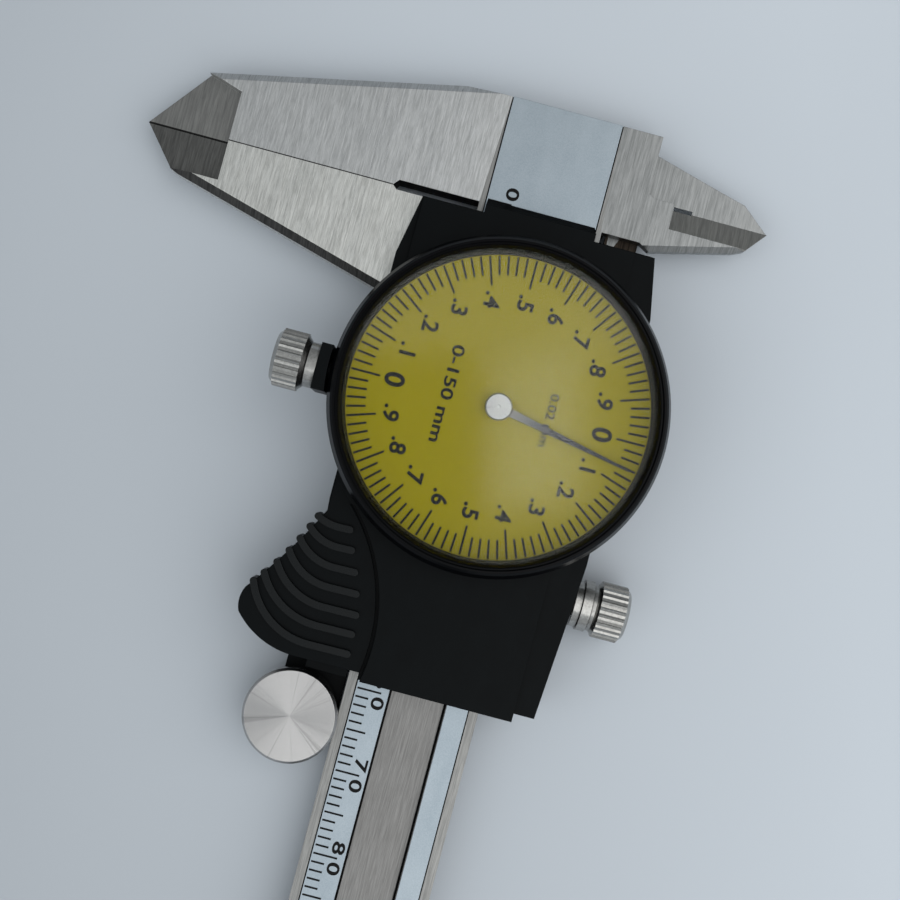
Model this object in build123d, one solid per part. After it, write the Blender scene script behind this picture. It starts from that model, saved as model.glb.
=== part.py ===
from build123d import *
import math
import os

# Dial caliper, 0 to 150 mm, lying on its back with the jaws closed.
# X runs along the beam towards its far end, Y towards the inside jaws and Z out of the dial.
# x = 0 is the plane where the outside jaws meet, y = 0 the middle of the beam's width,
# and z = 0 the back of the slider, which the caliper lies on. Sizes are in millimetres.

# Running fits and seats
slide_fit = 0.05
shaft_fit = 0.04
seat_gap = 0.02
body_gap = 0.3
closed_gap = 0.02

# Slider back plate, which sets the height of the beam
back_plate = 1.6

# Beam
beam_width = 16.0
beam_thick = 3.5
beam_front = -13.95
beam_end = 222.0
panel_width = 13.5
panel_raise = 0.2
panel_line_width = 0.14
panel_line_depth = 0.2
groove_low = -2.83
groove_high = 4.17
groove_depth = 1.5
groove_start = 16.0
groove_slot_width = 0.3
groove_slot_depth = 0.35
corner_relief = 0.45
relief_reach = 2.0
beam_low_z = back_plate + slide_fit
beam_top_z = beam_low_z + beam_thick
jaw_top_z = beam_top_z - panel_raise
half_beam = beam_width / 2

# Outside jaws
jaw_reach = 48.5
contact_top = 18.0
fixed_side_start = 12.4
moving_side = 12.55
moving_side_start = 16.8
fixed_relief = 0.7
moving_relief = 0.5
jaw_bevel = 0.9
jaw_bevel_drop = 0.7
tip_zone_reach = 10.2
tip_zone_fixed = 6.0
tip_zone_moving = 4.95
tip_thick = 1.4

# Inside jaws
blade_plane = -6.1
blade_reach = 27.1
block_top = 11.8
block_right = -0.9
knife_foot = 15.2
knife_width_fixed = 2.7
knife_edge = 0.12
knife_step = 0.5
knife_slot = 0.45
knife_slot_top = 17.7
split_gap = 0.1
split_z = (beam_low_z + jaw_top_z) / 2

# Slider
slider_end = 57.0
rail_start = 2.0
rail_half = 13.2
rail_top_z = beam_top_z + body_gap
rail_end = 56.0
index_x = -1.1
index_half = 6.6
gib_thick = 0.6
gib_start = 4.0
gib_end = 54.0
gib_wall = half_beam + slide_fit + gib_thick + slide_fit
arm_low = half_beam + body_gap
arm_top = 12.3

# Depth rod and its groove
rod_width = 3.4
rod_thick = 1.05
rod_start = 30.0
rod_foot = 16.0
rod_side_gap = 0.2
rod_drop = 0.1
rod_groove_start = rod_start - 3.0
rod_groove_depth = rod_thick + rod_drop + 0.15

# End stop
stop_start = 214.5
stop_length = 7.0
stop_width = 14.0
stop_thick = 1.45

# Rack and gear train: 10 mm of travel is one turn of the rack pinion and five of the needle
rack_pitch = 0.625
flank_slope = math.tan(math.radians(20))
rack_pinion_teeth = 16
wheel_teeth = 60
centre_pinion_teeth = 12
wheel_module = 0.2
tooth_addendum = 0.17
tooth_dedendum = 0.24
mesh_play = 0.03
tooth_half = rack_pitch / 4 - mesh_play / 5
rack_first = 27.5
rack_last = 183.5
rack_tab = 6.0
rack_tab_low = 0.9
rack_height = 0.85
rack_inset = 0.1
rack_back = 5.5
rack_seat_gap = 0.05
pinion_pitch_r = rack_pitch * rack_pinion_teeth / (2 * math.pi)
rack_line = groove_high + rack_inset + tooth_addendum
wheel_pitch_r = wheel_module * wheel_teeth / 2
centre_pitch_r = wheel_module * centre_pinion_teeth / 2
groove_floor_z = beam_top_z - groove_depth
rack_pocket_z = groove_floor_z + rack_height + rack_seat_gap

# Dial axis and pinion arbor
dial_x = 23.1
dial_y = (groove_low + groove_high) / 2
pinion_y = rack_line - pinion_pitch_r - mesh_play / 2
arbor_spacing = wheel_pitch_r + centre_pitch_r + mesh_play / 2
pinion_x = dial_x + math.sqrt(arbor_spacing**2 - (pinion_y - dial_y) ** 2)

# Movement
plate_thick = 1.0
plate_start = 12.5
plate_end = 41.5
plate_inset = 0.8
plate_half = rail_half - plate_inset
plate_z = rail_top_z + plate_thick
wheel_thick = 0.5
wheel_gap = 0.15
wheel_z = plate_z + 0.4
backlash_z = wheel_z + wheel_thick + wheel_gap
backlash_thick = 0.4
spring_z = backlash_z + backlash_thick + 0.05
spring_wire = 0.3
bridge_z = spring_z + spring_wire + 0.35
bridge_thick = 0.9
pillar_r = 1.3
bush_r = 1.1
bush_stand = 0.1
pivot_r = 0.4
arbor_r = 0.7

# Cover
side_wall = 2.1
end_wall = 0.6
side_y = rail_half + side_wall
corner_y = rail_half + end_wall
deck_z = 10.0
side_deck_z = 9.3
deck_thick = 1.3
skirt_z = 1.0
cover_rear = 57.4
cover_rear_side = 56.5
deck_split_y = 11.5
shoulder_front = 8.5
shoulder_rear = 38.0
front_lean = 1.0
neck_wall = 1.5
neck_top_z = 12.2
boss_half = 2.65
boss_wall = 1.27
boss_top_z = 14.9

# Thumb rest
rest_z = 9.2
rest_under_z = rail_top_z
rest_groove_x = 53.0
rest_groove_y = -(side_y + 12.2)
rest_groove_r = 21.2
rest_groove_width = 0.45
rest_groove_depth = 0.5
rib_width = 0.85
rib_raise = 0.45

# Bezel, dial and crystal
bezel_r = 19.3
bezel_wall = 1.45
bezel_fit = 0.1
bezel_low_z = deck_z + body_gap
bezel_top_z = 16.0
neck_r = bezel_r - bezel_wall - bezel_fit
housing_r = bezel_r - 0.6
dial_margin = 0.5
dial_r = neck_r
dial_show_r = dial_r - dial_margin
dial_thick = 0.4
dial_top_z = 12.95
crystal_r = neck_r + 0.05
crystal_thick = 1.0
crystal_z = 14.3
ring_z = 11.5
ring_wire = 0.5
ring_bite = 0.25

# Needle and hub
needle_length = dial_show_r - 0.85
needle_root = 1.0
needle_tip = 0.25
needle_thick = 0.15
needle_z = 13.35
needle_angle = 11.2
hub_r = 1.53
hub_top_z = 13.95

# Thumb roller
roller_x = 63.85
roller_y = -13.4
roller_r = -roller_y - half_beam - slide_fit
flange_r = 5.6
roller_low_z = 2.3
flange_z = jaw_top_z + body_gap + 0.1
roller_top_z = 6.6
stub_r = 1.5
bracket_start = 49.3
bracket_low_z = 0.9
bracket_thick = 1.2
bracket_side = 8.25
bracket_r = 4.9
bracket_corner = 2.6

# Lock screw on the upper edge
lock_x = 42.75
lock_z = 3.7
lock_head_r = 3.4
lock_flange_start = side_y + body_gap
lock_head_start = lock_flange_start + 2.5
lock_head_end = lock_head_start + 4.0
lock_collar_r = 3.05
lock_shank_r = 1.5
lock_flange_r = 2.75
knurls = 26
knurl_depth = 0.3
knurl_land = 0.45

# Clamp screw below the dial
clamp_x = 23.9
clamp_z = 12.3
clamp_head_r = 3.35
boss_reach = bezel_r - dial_y + body_gap + boss_wall
clamp_head_start = boss_reach + 1.3
clamp_head_end = clamp_head_start + 3.7
clamp_collar_r = 2.6
clamp_shank_r = 1.0
shoe_r = 0.9

# Small screws: head radius, shank radius and head height
back_screw = (1.9, 1.0, 1.0)
plate_screw = (1.5, 0.9, 0.7)
tiny_screw = (1.1, 0.65, 0.55)
slot_width = 0.35
slot_depth = 0.3


def prism(points, low, high):
    """Upright prism of a closed outline between two heights."""
    return Pos(0, 0, low) * extrude(make_face(Polyline(*points, close=True)), high - low)


def slab(x0, x1, y0, y1, z0, z1):
    """Block between two corners."""
    centre = Pos((x0 + x1) / 2, (y0 + y1) / 2, (z0 + z1) / 2)
    return centre * Box(x1 - x0, y1 - y0, z1 - z0)


def post(x, y, radius, low, high):
    """Upright cylinder."""
    return Pos(x, y, (low + high) / 2) * Cylinder(radius, high - low)


def turned(profile, x=0.0, y=0.0):
    """Solid of revolution about an upright axis, from points of radius and height."""
    outline = [(radius, 0, height) for radius, height in profile]
    return Pos(x, y, 0) * revolve(make_face(Polyline(*outline, close=True)), Axis.Z)


def bar_along_y(x, z, radius, y0, y1):
    """Cylinder along Y."""
    return Pos(x, (y0 + y1) / 2, z) * Rot(90, 0, 0) * Cylinder(radius, y1 - y0)


def polar(radius, angle, x=0.0, y=0.0):
    """Point at a radius and an angle in degrees from a centre."""
    turn = math.radians(angle)
    return (x + radius * math.cos(turn), y + radius * math.sin(turn))


def screw_up(x, y, sizes, head_z, length):
    """Countersunk screw driven upwards, its slotted head face at head_z."""
    head_r, shank_r, head_h = sizes
    profile = [(0, head_z), (head_r, head_z), (shank_r, head_z + head_h)]
    profile += [(shank_r, head_z + length), (0, head_z + length)]
    body = turned(profile, x, y)
    return body - slab(x - head_r, x + head_r, y - slot_width / 2, y + slot_width / 2,
                       head_z - 1, head_z + slot_depth)


def screw_up_hole(x, y, sizes, head_z, length):
    """Clearance hole and countersink for screw_up."""
    head_r, shank_r, head_h = sizes
    wide = head_r + slide_fit
    narrow = shank_r + slide_fit
    profile = [(0, head_z - 1), (wide, head_z - 1), (wide, head_z), (narrow, head_z + head_h)]
    profile += [(narrow, head_z + length + slide_fit), (0, head_z + length + slide_fit)]
    return turned(profile, x, y)


def screw_down(x, y, sizes, seat_z, length):
    """Cheese-head screw driven downwards, its head resting on seat_z."""
    head_r, shank_r, head_h = sizes
    profile = [(0, seat_z - length), (shank_r, seat_z - length), (shank_r, seat_z)]
    profile += [(head_r, seat_z), (head_r, seat_z + head_h), (0, seat_z + head_h)]
    return turned(profile, x, y)


def group(pieces):
    """Several separate solids that share one node."""
    return Compound(children=list(pieces))


def save(shape, node):
    """Write one node."""
    export_step(shape, f"parts/{node}.step")


# Beam, with the fixed outside jaw and the fixed inside blade

stop_screw_x = stop_start + stop_length / 2
stop_screw_y = [-4.4, 4.4]
rack_screw_x = [rack_first - rack_tab / 2, rack_last + rack_tab / 2]
rack_screw_y = (rack_tab_low + rack_line) / 2 + 0.4


def bevel_side(jaw, side):
    """Bevel the two long edges on the outer flank of a jaw."""
    flank = [edge for edge in jaw.edges().filter_by(GeomType.LINE)
             if edge.center().X * side > jaw_bevel and abs(edge.tangent_at(0.5).Z) < 0.5]
    longest = sorted(flank, key=lambda edge: edge.length)[-2:]
    return chamfer(longest, jaw_bevel_drop, jaw_bevel)


def fixed_jaw():
    """Fixed outside jaw, flat at the contact plane and relieved above it."""
    outline = [(beam_front, -half_beam + 1), (beam_front, -fixed_side_start)]
    corner = (-tip_zone_fixed - 1.4, -(jaw_reach - 5.8))
    outline += [corner, (0, -jaw_reach), (0, -contact_top), (-fixed_relief, -contact_top + 0.6)]
    outline += [(-fixed_relief, -half_beam + 1)]
    jaw = bevel_side(prism(outline, beam_low_z, jaw_top_z), -1)
    edge_y = -(jaw_reach - tip_zone_reach)
    zone = [(1, edge_y), (-tip_zone_fixed, edge_y), corner, (corner[0] - 1, corner[1] - 1)]
    zone += [(corner[0] - 1, -jaw_reach - 1), (1, -jaw_reach - 1)]
    return jaw - prism(zone, beam_low_z + tip_thick, jaw_top_z + 1)


def fixed_blade():
    """Fixed inside blade on the front half of the thickness, with its hollow-ground knife."""
    low = split_z + split_gap / 2
    slot_x = blade_plane - knife_slot + 0.05
    outline = [(beam_front, half_beam - 1), (beam_front, block_top), (blade_plane - 0.9, block_top)]
    outline += [(slot_x, block_top + 0.8), (slot_x, knife_slot_top), (blade_plane, knife_slot_top)]
    outline += [(blade_plane, blade_reach), (-3.2, blade_reach - 2.4), (-2.6, 23.3)]
    outline += [(-0.2, 13.6), (block_right, block_top + 0.4), (block_right, half_beam - 1)]
    blade = prism(outline, low, jaw_top_z)
    flank = [edge for edge in blade.edges().filter_by(GeomType.LINE)
             if edge.center().X > -2 and edge.center().Y > 15 and edge.center().Z > jaw_top_z - 0.01]
    blade = chamfer(flank, 0.6, 0.7)
    right = blade_plane + knife_width_fixed
    ground = [(blade_plane - 1, low + knife_edge), (blade_plane, low + knife_edge)]
    ground += [(right, jaw_top_z - knife_step), (right, jaw_top_z + 1), (blade_plane - 1, jaw_top_z + 1)]
    face = make_face(Polyline(*[(x, 0, z) for x, z in ground], close=True))
    relief = Pos(0, blade_reach + 2, 0) * extrude(face, blade_reach + 2 - knife_foot, dir=(0, -1, 0))
    slot = slab(slot_x, blade_plane + 0.1, knife_foot, knife_slot_top, low - 1, jaw_top_z + 1)
    return blade - relief - slot


def beam():
    """Whole beam: ground blank, raised scale panel, grooves and both fixed jaws."""
    blank = slab(beam_front, beam_end, -half_beam, half_beam, beam_low_z, jaw_top_z)
    panel = slab(beam_front, beam_end, -panel_width / 2, panel_width / 2, jaw_top_z, beam_top_z)
    body = blank + panel + fixed_jaw() + fixed_blade()
    for line_low in (-panel_width / 2 - panel_line_width, panel_width / 2):
        body -= slab(beam_front - 1, beam_end + 1, line_low, line_low + panel_line_width,
                     jaw_top_z - panel_line_depth, jaw_top_z + 1)
    for edge_y in (-half_beam, half_beam):
        side = math.copysign(1, edge_y)
        ends = sorted((edge_y - side * corner_relief, edge_y + side * 0.5))
        start = -fixed_relief if side < 0 else block_right
        body -= slab(start, relief_reach, ends[0], ends[1], beam_low_z - 1, beam_top_z + 1)
    body -= slab(groove_start, beam_end + 1, groove_low, groove_high, groove_floor_z, beam_top_z + 1)
    for slot_low in (groove_low, groove_high - groove_slot_width):
        body -= slab(groove_start, beam_end + 1, slot_low, slot_low + groove_slot_width,
                     groove_floor_z - groove_slot_depth, groove_floor_z + 1)
    body -= slab(rack_first - rack_tab - 1, rack_last + rack_tab + 1, groove_high - 1,
                 rack_back + rack_seat_gap, groove_floor_z, rack_pocket_z)
    half_rod = rod_width / 2 + rod_side_gap
    body -= slab(rod_groove_start, beam_end + 1, -half_rod, half_rod,
                 beam_low_z - 1, beam_low_z + rod_groove_depth)
    stop_face = beam_low_z - stop_thick
    for y in stop_screw_y:
        body -= screw_up_hole(stop_screw_x, y, tiny_screw, stop_face, stop_thick + 1.6)
    for x in rack_screw_x:
        body -= post(x, rack_screw_y, tiny_screw[1] + slide_fit, groove_floor_z - 0.6, groove_floor_z + 0.1)
    return body


def end_stop():
    """Stop plate across the back of the beam's far end."""
    low = beam_low_z - stop_thick
    body = slab(stop_start, stop_start + stop_length, -stop_width / 2, stop_width / 2, low, beam_low_z)
    body = chamfer(body.edges().filter_by(Axis.Z), 0.8)
    for y in stop_screw_y:
        body -= screw_up_hole(stop_screw_x, y, tiny_screw, low, stop_thick + 1.6)
    return body


def end_stop_screws():
    """Two countersunk screws of the stop plate."""
    low = beam_low_z - stop_thick
    return group(screw_up(stop_screw_x, y, tiny_screw, low, stop_thick + 1.5) for y in stop_screw_y)


# Rack

def rack():
    """Rack strip: teeth towards the groove, and a screwed tab at each end."""
    root = rack_line + tooth_dedendum
    tip = rack_line - tooth_addendum
    root_half = tooth_half + tooth_dedendum * flank_slope
    tip_half = tooth_half - tooth_addendum * flank_slope
    first = math.ceil((rack_first - pinion_x) / rack_pitch - 0.5)
    last = math.floor((rack_last - pinion_x) / rack_pitch - 0.5)
    outline = [(rack_first - rack_tab, rack_back), (rack_first - rack_tab, rack_tab_low)]
    outline += [(rack_first - 1, rack_tab_low), (rack_first - 1, root)]
    for count in range(first, last + 1):
        middle = pinion_x + (count + 0.5) * rack_pitch
        outline += [(middle - root_half, root), (middle - tip_half, tip)]
        outline += [(middle + tip_half, tip), (middle + root_half, root)]
    outline += [(rack_last + 1, root), (rack_last + 1, rack_tab_low)]
    outline += [(rack_last + rack_tab, rack_tab_low), (rack_last + rack_tab, rack_back)]
    body = prism(outline, groove_floor_z, groove_floor_z + rack_height)
    for x in rack_screw_x:
        body -= post(x, rack_screw_y, tiny_screw[1] + slide_fit, groove_floor_z - 1, beam_top_z)
    return body


def rack_screws():
    """Two screws that hold the rack's tabs on the groove floor."""
    seat = groove_floor_z + rack_height
    sizes = (0.95, tiny_screw[1], 0.5)
    return group(screw_down(x, rack_screw_y, sizes, seat, rack_height + 0.5) for x in rack_screw_x)


# Slider, with the moving outside jaw and the moving inside blade

cover_screw_y = rail_half - 2.2
cover_screw_at = [(6.5, cover_screw_y), (51.5, cover_screw_y), (6.5, -cover_screw_y), (45.0, -cover_screw_y)]
bracket_screw_y = -(half_beam + rail_half) / 2 - 0.2
bracket_screw_at = [(51.6, bracket_screw_y), (54.9, bracket_screw_y)]
rod_screw_x = [rod_start + 4.0, rod_start + 12.0]
gib_screw_x = [12.0, 48.0]
gib_screw_r = 1.2
gib_screw_z = (beam_low_z + beam_top_z) / 2
plate_screw_y = rail_half - 2.4
plate_screw_at = [(x, y) for x in (15.0, 39.0) for y in (-plate_screw_y, plate_screw_y)]
cover_screw_length = 7.2


def moving_jaw():
    """Moving outside jaw, flat at the contact plane."""
    outline = [(moving_relief, -half_beam - slide_fit), (moving_relief, -contact_top + 0.5)]
    outline += [(closed_gap, -contact_top), (closed_gap, -jaw_reach)]
    outline += [(tip_zone_moving - 0.05, -(jaw_reach - 4.1)), (tip_zone_moving + 0.45, -(jaw_reach - 5.2))]
    outline += [(moving_side, -moving_side_start), (moving_side, -half_beam - slide_fit)]
    jaw = bevel_side(prism(outline, beam_low_z, jaw_top_z), 1)
    pocket = slab(-1, tip_zone_moving, -jaw_reach - 1, -(jaw_reach - tip_zone_reach),
                  beam_low_z + tip_thick, jaw_top_z + 1)
    return jaw - pocket


def moving_blade():
    """Moving inside blade on the back half of the thickness, reached by an arm behind the block."""
    high = split_z - split_gap / 2
    slot_x = blade_plane - knife_slot
    outline = [(rail_start + 1, arm_low), (rail_start + 1, arm_top), (slot_x, arm_top)]
    outline += [(slot_x, knife_slot_top), (blade_plane, knife_slot_top), (blade_plane, blade_reach)]
    outline += [(-8.95, 23.7), (-9.95, 19.8), (-12.1, block_top), (-12.1, arm_low)]
    blade = prism(outline, beam_low_z, high)
    left = blade_plane - knife_width_fixed
    ground = [(blade_plane + 1, high - knife_edge), (blade_plane, high - knife_edge)]
    ground += [(left, beam_low_z + knife_step), (left, beam_low_z - 1), (blade_plane + 1, beam_low_z - 1)]
    face = make_face(Polyline(*[(x, 0, z) for x, z in ground], close=True))
    return blade - Pos(0, blade_reach + 2, 0) * extrude(face, blade_reach + 2 - knife_foot, dir=(0, -1, 0))


def slider():
    """Slider frame around the beam, with its jaw and blade."""
    plate = slab(moving_relief, slider_end, -rail_half, rail_half, 0, back_plate)
    tongue = slab(index_x, moving_relief + 1, -half_beam + 0.6, half_beam - 0.6, 0, back_plate)
    lower = slab(rail_start, bracket_start - seat_gap, -rail_half, -half_beam - slide_fit,
                 back_plate, rail_top_z)
    upper = slab(rail_start, rail_end, gib_wall, rail_half, back_plate, rail_top_z)
    under_jaw = slab(moving_relief, rail_start + 1, -rail_half, -half_beam - slide_fit,
                     back_plate, jaw_top_z)
    body = plate + tongue + lower + upper + under_jaw + moving_jaw() + moving_blade()
    for x, y in cover_screw_at:
        body -= screw_up_hole(x, y, back_screw, 0, cover_screw_length)
    for x, y in bracket_screw_at:
        body -= screw_up_hole(x, y, plate_screw, 0, 4.0)
    for x in rod_screw_x:
        body -= screw_up_hole(x, 0, tiny_screw, 0, 2.4)
    for x in gib_screw_x:
        body -= bar_along_y(x, gib_screw_z, gib_screw_r + slide_fit, gib_wall - 0.5, rail_half + 1)
    body -= bar_along_y(lock_x, lock_z, lock_shank_r + slide_fit, gib_wall - 0.5, rail_half + 1)
    for x, y in plate_screw_at:
        body -= post(x, y, plate_screw[1] + slide_fit, rail_top_z - 2.6, rail_top_z + 1)
    for x, y in bracket_screw_at:
        body -= post(x, y, plate_screw[1] + slide_fit, back_plate - 0.5, back_plate + 3)
    return body


def gib_strip():
    """Thin bronze strip beside the beam's upper edge, dimpled for its screws."""
    low = half_beam + slide_fit
    body = slab(gib_start, gib_end, low, low + gib_thick, beam_low_z + 0.1, jaw_top_z - 0.1)
    return body


def gib_screws():
    """Two slotted setscrews in the slider's upper edge."""
    screws = []
    for x in gib_screw_x:
        start = half_beam + slide_fit + gib_thick + seat_gap
        body = bar_along_y(x, gib_screw_z, gib_screw_r, start, rail_half - 0.3)
        body -= slab(x - 2, x + 2, rail_half - 0.3 - slot_depth * 1.6, rail_half + 1,
                     gib_screw_z - slot_width / 2, gib_screw_z + slot_width / 2)
        screws.append(body)
    return group(screws)


def depth_rod():
    """Flat depth rod with a foot on the slider and a notched measuring end."""
    half = rod_width / 2
    low = back_plate + rod_drop
    outline = [(rod_start, -half), (beam_end - 5, -half), (beam_end - 4, -half + 1.2)]
    outline += [(beam_end, -half + 1.2), (beam_end, half), (rod_start, half)]
    body = prism(outline, low, low + rod_thick)
    body += slab(rod_start, rod_start + rod_foot, -half, half, back_plate, low + 0.2)
    for x in rod_screw_x:
        body -= post(x, 0, tiny_screw[1] + slide_fit, back_plate - 1, back_plate + 0.85)
    return body


def depth_rod_screws():
    """Two screws through the slider's back into the depth rod."""
    return group(screw_up(x, 0, tiny_screw, 0, 2.3) for x in rod_screw_x)


# Cover with its thumb rest

outside = side_y + 3.0
rest_tip = (51.9, -side_y - 7.05)
rest_edge_top = (56.55, -side_y + 0.7)
rest_edge_end = (53.2, -side_y - 6.75)
rest_inner = (39.4, -side_y + 0.1)
rest_inner_mid = (45.3, -side_y - 3.2)
rest_inner_end = (50.3, -side_y - 6.7)
rest_top_y = -side_y + 8.5
rib_x = [54.75, 52.45, 50.2, 47.85, 45.5, 43.15, 40.9]
rib_tops = [6.6, 6.5, 6.4, 5.8, 5.0, 4.0, 3.2]
rib_bends = [1.9, 2.3, 2.5, 2.5, 2.5, 2.3, 1.9]
rib_end_x = [49.35, 48.15, 46.6, 44.95, 43.3, 41.7, 40.3]
rib_end_drops = [5.95, 5.0, 3.9, 2.9, 2.05, 1.3, 0.7]


def cover_outline():
    """Plan outline of the cover above the thumb rest's foot, without the index tongue."""
    return [(moving_relief, -corner_y), (moving_relief, corner_y), (shoulder_front, side_y),
            (shoulder_rear, side_y + 0.1), (cover_rear_side, corner_y + 0.2),
            (cover_rear_side, deck_split_y), (cover_rear, deck_split_y),
            (cover_rear, rest_top_y), (cover_rear_side, rest_top_y),
            (cover_rear_side, -corner_y), (shoulder_rear, -side_y), (shoulder_front, -side_y)]


def on_rest_groove_at_x(x):
    """Point of the thumb rest's groove line at a given x."""
    return (x, rest_groove_y + math.sqrt(rest_groove_r**2 - (x - rest_groove_x) ** 2))


def on_rest_groove_at_y(y):
    """Point of the thumb rest's groove line at a given y, towards the jaws."""
    return (rest_groove_x - math.sqrt(rest_groove_r**2 - (y - rest_groove_y) ** 2), y)


def thumb_rest_face():
    """Fan outline of the thumb rest."""
    rear = on_rest_groove_at_x(cover_rear_side)
    front = on_rest_groove_at_y(rest_inner[1])
    edge = RadiusArc(front, rear, rest_groove_r)
    right = Line(rear, rest_edge_top)
    bend = TangentArc(rest_edge_top, rest_edge_end, tangent=(0, -1))
    tip = ThreePointArc(rest_edge_end, rest_tip, rest_inner_end)
    inner = ThreePointArc(rest_inner_end, rest_inner_mid, rest_inner)
    close = Line(rest_inner, front)
    return make_face(edge + right + bend + tip + inner + close)


def rib(start, bend_y, end):
    """One raised rib: straight down, then an arc to the notched edge, with round ends."""
    corner = (start[0] + 0.05, bend_y)
    path = Line(start, corner) + TangentArc(corner, end, tangent=(0, -1))
    ends = [Pos(*start) * Circle(rib_width / 2), Pos(*end) * Circle(rib_width / 2)]
    band = trace(path, line_width=rib_width)
    whole = band + ends[0] + ends[1]
    return Pos(0, 0, rest_under_z + 1.0) * extrude(whole, rest_z + rib_raise - rest_under_z - 1.0)


def cover():
    """Moulded housing: decks, skirt, round dial seat, clamp boss and ribbed thumb rest."""
    body = prism(cover_outline(), skirt_z, side_deck_z)
    body += slab(moving_relief, cover_rear, -corner_y, deck_split_y, side_deck_z - 1, deck_z)
    body -= slab(cover_rear_side, cover_rear + 1, -outside, rest_top_y, skirt_z - 1, deck_z + 1)
    body += post(dial_x, dial_y, housing_r, rail_top_z, deck_z)
    body += Pos(0, 0, rest_under_z) * extrude(thumb_rest_face(), rest_z - rest_under_z)
    fan_cut = Pos(0, 0, rest_z) * extrude(thumb_rest_face(), 3)
    body -= fan_cut
    groove = Circle(rest_groove_r + rest_groove_width / 2) - Circle(rest_groove_r - rest_groove_width / 2)
    ring = Pos(rest_groove_x, rest_groove_y, rest_z - rest_groove_depth) * extrude(groove, 3)
    body -= ring & slab(shoulder_rear, cover_rear_side + 1, -corner_y, 0, rest_z - 2, deck_z + 1)
    for top_x, top, bend, end_x, drop in zip(rib_x, rib_tops, rib_bends, rib_end_x, rib_end_drops):
        body += rib((top_x, -side_y + top), -side_y + bend, (end_x, -side_y - drop))
    tongue = [(index_x, beam_top_z + body_gap), (rail_start, beam_top_z + body_gap)]
    tongue += [(rail_start, deck_z), (moving_relief + 0.2, deck_z)]
    face = make_face(Polyline(*[(x, 0, z) for x, z in tongue], close=True))
    body += Pos(0, index_half, 0) * extrude(face, 2 * index_half, dir=(0, -1, 0))
    lean = [(moving_relief - 1, skirt_z), (moving_relief - 1, deck_z + 1)]
    lean += [(moving_relief + front_lean, deck_z + 1), (moving_relief + front_lean, deck_z)]
    lean += [(moving_relief, rail_top_z), (moving_relief, skirt_z)]
    face = make_face(Polyline(*[(x, 0, z) for x, z in lean], close=True))
    for y0, y1 in ((index_half, outside), (-outside, -index_half)):
        body -= Pos(0, y1, 0) * extrude(face, y1 - y0, dir=(0, -1, 0))
    body += post(dial_x, dial_y, neck_r, deck_z, neck_top_z)
    boss = slab(clamp_x - boss_half, clamp_x + boss_half, -boss_reach, dial_y - housing_r + 3,
                rail_top_z + 2.5, boss_top_z)
    boss -= post(dial_x, dial_y, bezel_r + body_gap, deck_z, boss_top_z + 1)
    body += boss
    body -= post(dial_x, dial_y, neck_r - neck_wall, deck_z - deck_thick - 1, neck_top_z + 1)
    groove_r = neck_r - ring_bite - shaft_fit
    half_slot = ring_wire / 2 + shaft_fit
    slot = [(groove_r, ring_z - half_slot), (neck_r + 1, ring_z - half_slot)]
    slot += [(neck_r + 1, ring_z + half_slot), (groove_r, ring_z + half_slot)]
    body -= turned(slot, dial_x, dial_y)
    body -= cover_inside()
    for x in gib_screw_x:
        body -= bar_along_y(x, gib_screw_z, gib_screw_r + body_gap, rail_half, outside)
    body -= bar_along_y(lock_x, lock_z, lock_shank_r + body_gap, rail_half, outside)
    body -= bar_along_y(clamp_x, clamp_z, clamp_shank_r + slide_fit, -boss_reach - 1, dial_y - bezel_r)
    return body


def cover_inside():
    """Space inside the cover for the steel slider, the beam and the movement."""
    steel = rail_half + seat_gap
    inside = slab(rail_start - seat_gap, rail_end + seat_gap, -steel, steel, skirt_z - 1, rail_top_z)
    inside += slab(rail_start + 0.6, rail_end - 0.6, -steel + 0.6, steel - 0.6,
                   rail_top_z - 1, side_deck_z - deck_thick)
    inside += slab(moving_relief - 1, slider_end + 1, -half_beam, half_beam, skirt_z - 1, rail_top_z)
    inside += slab(moving_relief - 1, rail_start + 1, arm_low - body_gap, arm_top + body_gap, skirt_z - 1,
                   split_z + body_gap)
    inside += slab(moving_relief - 2, slider_end + 1, -rail_half - seat_gap, rail_half + seat_gap,
                   skirt_z - 2, back_plate + seat_gap)
    inside += slab(moving_relief - 1, moving_side + body_gap, -outside, -half_beam,
                   skirt_z - 1, jaw_top_z + seat_gap)
    inside += slab(bracket_start - seat_gap, cover_rear + 1, -outside, -half_beam, skirt_z - 1, rail_top_z)
    bridge_room = bridge_z + bridge_thick + body_gap - rail_top_z
    inside += Pos(0, 0, rail_top_z) * extrude(bridge_face(body_gap), bridge_room)
    for x, y in cover_screw_at:
        inside -= post(x, y, 2.2, rail_top_z, side_deck_z)
        inside += post(x, y, back_screw[1] + slide_fit, rail_top_z - 1, cover_screw_length + slide_fit)
    return inside


def cover_screws():
    """Four countersunk screws from the back into the cover's bosses."""
    return group(screw_up(x, y, back_screw, 0, cover_screw_length) for x, y in cover_screw_at)


# Thumb roller and its bracket

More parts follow.
